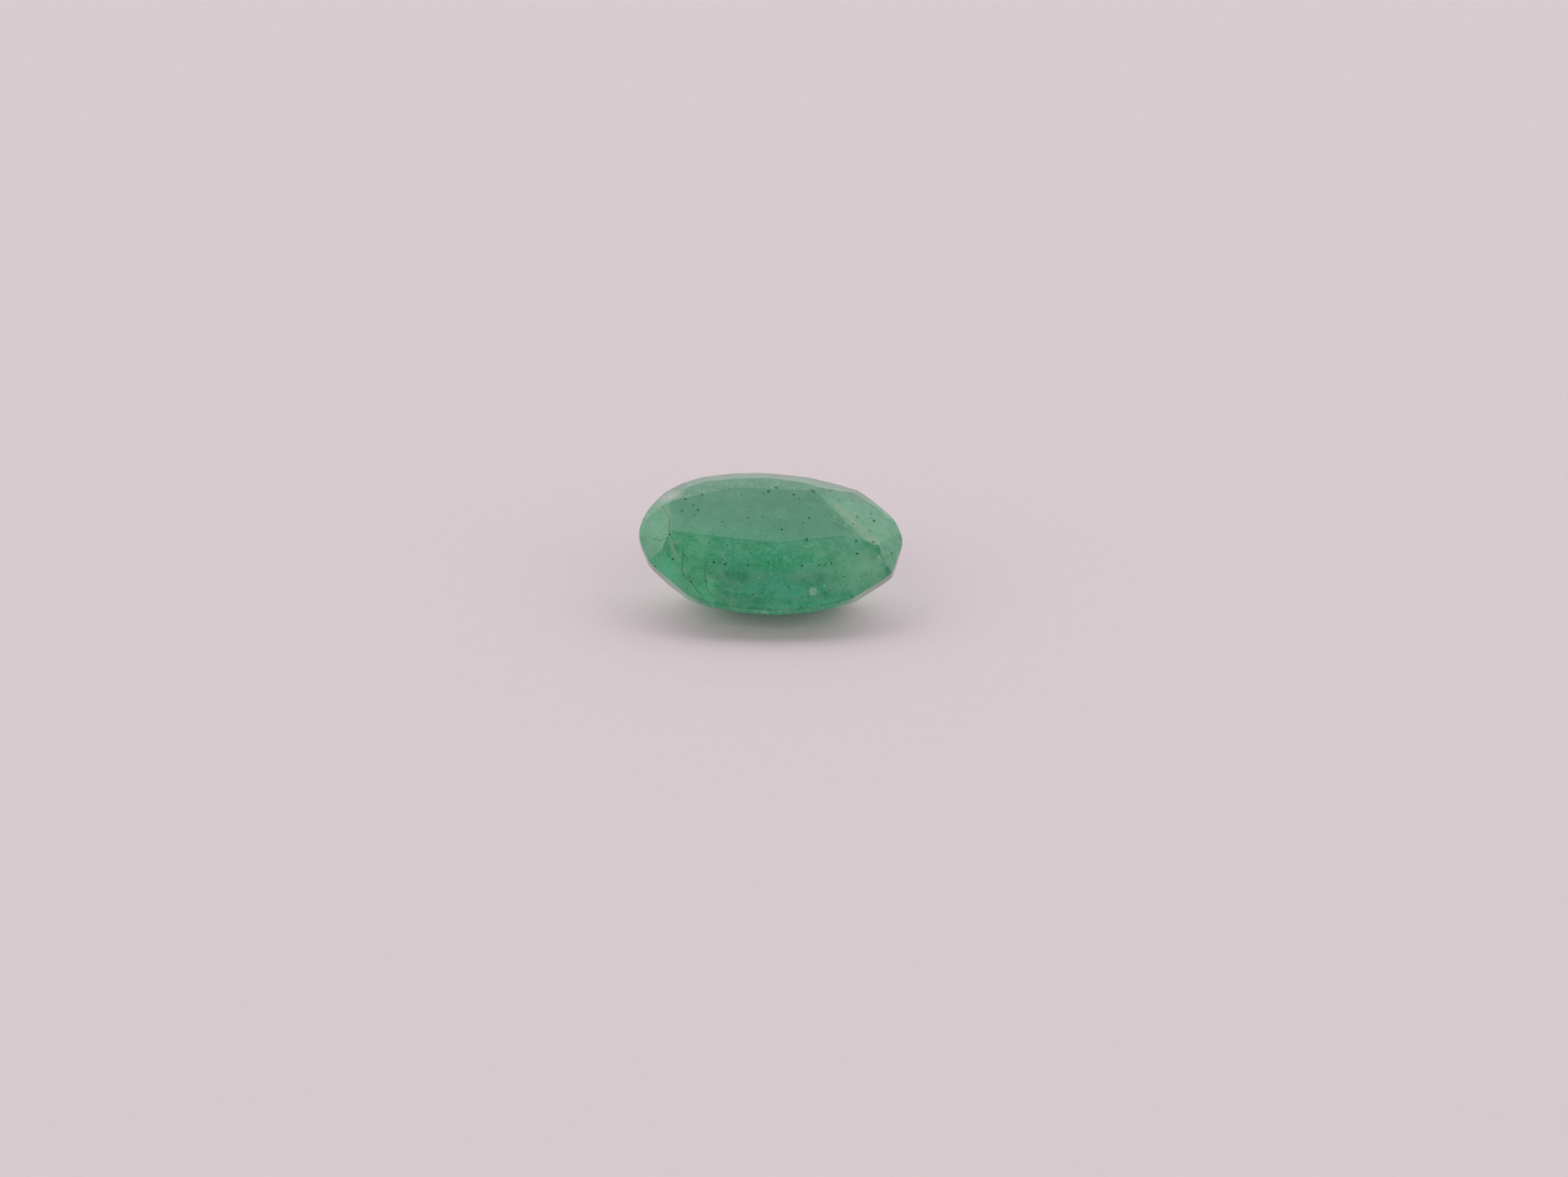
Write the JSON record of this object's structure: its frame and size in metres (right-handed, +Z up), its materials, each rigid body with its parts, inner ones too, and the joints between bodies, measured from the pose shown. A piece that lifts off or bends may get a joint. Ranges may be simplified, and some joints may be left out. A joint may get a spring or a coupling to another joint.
{
  "type": "faceted oval emerald gemstone",
  "caption": "Loose oval emerald, cut and polished by hand, with a shallow faceted top, a thin upright girdle and a deep tapering underside; lies tipped forward on one facet.",
  "frame": {"origin": "bottom centre of the stone's box, on the surface it lies on", "axes": "+X along the stone's long side, +Z up, -Y the side that the flat top leans towards and the picture looks from"},
  "size_m": [0.012, 0.0074, 0.0054],
  "materials": {
    "emerald": "polished, milky see-through green stone"
  },
  "bodies": {
    "root": {"emerald": "emerald"}
  },
  "joints": []
}
